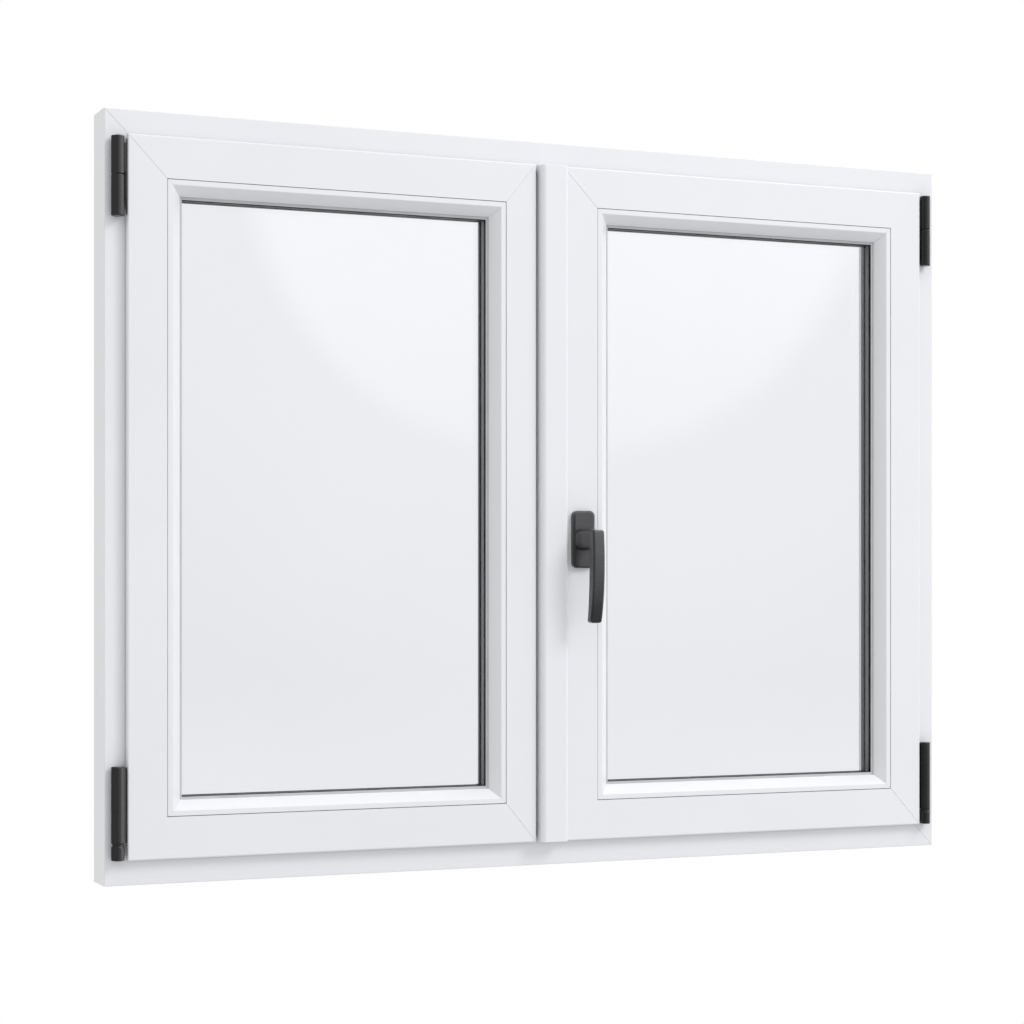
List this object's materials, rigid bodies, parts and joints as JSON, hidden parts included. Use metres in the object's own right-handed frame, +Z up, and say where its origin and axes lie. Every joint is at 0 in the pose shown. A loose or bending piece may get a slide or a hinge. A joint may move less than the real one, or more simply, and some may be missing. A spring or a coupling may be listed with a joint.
{
  "type": "casement window",
  "caption": "White plastic casement window with side-hung sashes that meet at a post, double glazing, dark hinge covers and a dark lever handle.",
  "frame": {"origin": "middle of the frame's bottom face", "axes": "+X to the right as seen from the room, +Y from the room to the outside, +Z up"},
  "size_m": [1.5, 0.157, 1.2],
  "materials": {
    "white_pvc": "satin white plastic profile",
    "bead_gasket": "light grey soft lip gasket",
    "seal_rubber": "matt black rubber",
    "glass": "clear float glass",
    "spacer": "dark grey warm-edge spacer bar",
    "hinge_cover": "satin black cover",
    "pin_steel": "bright steel",
    "handle_coat": "satin dark grey powder coat"
  },
  "bodies": {
    "frame": {"frame_head": "white_pvc", "frame_sill": "white_pvc", "frame_left_jamb": "white_pvc", "frame_right_jamb": "white_pvc", "frame_stop_seal": "seal_rubber", "left_top_hinge_frame_half": "hinge_cover", "left_bottom_hinge_frame_half": "hinge_cover", "right_top_hinge_frame_half": "hinge_cover", "right_bottom_hinge_frame_half": "hinge_cover", "hinge_pins": "pin_steel"},
    "left_sash": {"left_sash_top_rail": "white_pvc", "left_sash_bottom_rail": "white_pvc", "left_sash_hinge_stile": "white_pvc", "left_sash_meeting_stile": "white_pvc", "left_bead_top": "white_pvc", "left_bead_bottom": "white_pvc", "left_bead_hinge_side": "white_pvc", "left_bead_meeting_side": "white_pvc", "left_bead_gasket": "bead_gasket", "left_glass_panes": "glass", "left_glass_spacer": "spacer", "left_outer_gasket": "seal_rubber", "left_lip_seal": "seal_rubber", "left_top_hinge_sash_half": "hinge_cover", "left_bottom_hinge_sash_half": "hinge_cover"},
    "right_sash": {"right_sash_top_rail": "white_pvc", "right_sash_bottom_rail": "white_pvc", "right_sash_hinge_stile": "white_pvc", "right_sash_meeting_stile": "white_pvc", "right_bead_top": "white_pvc", "right_bead_bottom": "white_pvc", "right_bead_hinge_side": "white_pvc", "right_bead_meeting_side": "white_pvc", "right_bead_gasket": "bead_gasket", "right_glass_panes": "glass", "right_glass_spacer": "spacer", "right_outer_gasket": "seal_rubber", "right_lip_seal": "seal_rubber", "right_top_hinge_sash_half": "hinge_cover", "right_bottom_hinge_sash_half": "hinge_cover", "meeting_post": "white_pvc", "meeting_post_seal": "seal_rubber", "handle_rosette": "handle_coat"},
    "handle": {"handle_lever": "handle_coat"}
  },
  "joints": [
    {"name": "left_sash_swing", "type": "hinge", "parent": "frame", "child": "left_sash", "pos_m": [-0.7317, -0.047, 0.6], "axis": [0, 0, -1], "range_deg": [0, 90]},
    {"name": "right_sash_swing", "type": "hinge", "parent": "frame", "child": "right_sash", "pos_m": [0.7282, -0.047, 0.6], "axis": [0, 0, 1], "range_deg": [0, 90]},
    {"name": "handle_turn", "type": "hinge", "parent": "right_sash", "child": "handle", "pos_m": [0.052, -0.062, 0.5405], "axis": [0, -1, 0], "range_deg": [0, 90]}
  ]
}
